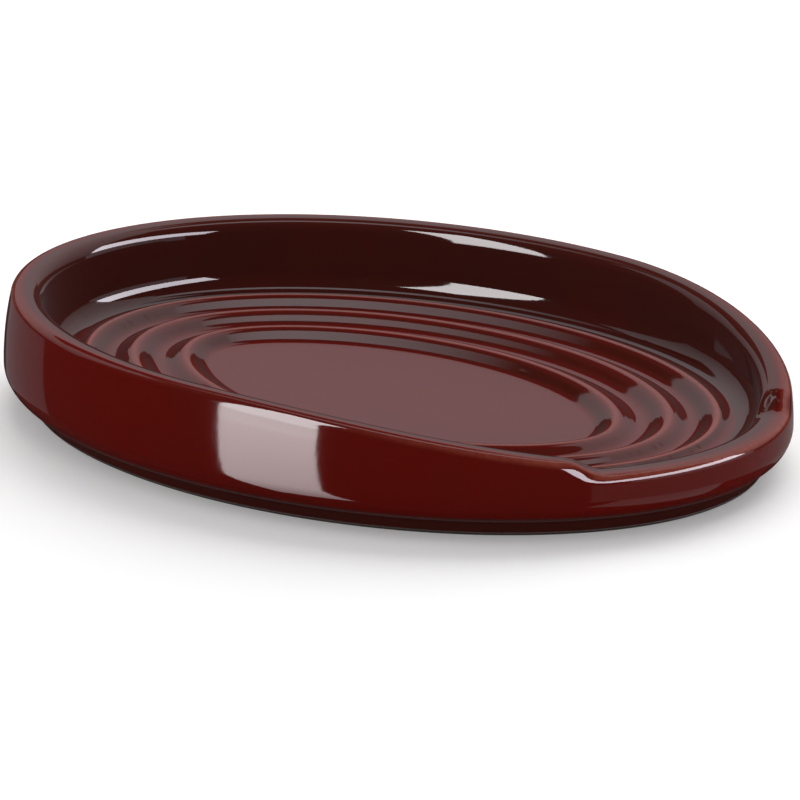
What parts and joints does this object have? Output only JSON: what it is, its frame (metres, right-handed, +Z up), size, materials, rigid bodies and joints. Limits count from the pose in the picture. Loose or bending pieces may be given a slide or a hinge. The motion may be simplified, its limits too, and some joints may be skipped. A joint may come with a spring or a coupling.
{
  "type": "spoon rest",
  "caption": "Oval glazed stoneware spoon rest with raised oval ribs round a flat floor, a foot ring and a low lip at one end for the spoon's handle.",
  "frame": {"origin": "the middle of the dish's outline, on the table that the foot ring stands on", "axes": "+X along the dish towards its low lip, +Y across the dish, +Z up"},
  "size_m": [0.15, 0.1116, 0.0201],
  "materials": {
    "fired_clay": "matt fired clay",
    "glaze": "glossy oxblood glaze"
  },
  "bodies": {
    "root": {"stoneware_body": "fired_clay", "glaze_coat": "glaze"}
  },
  "joints": []
}
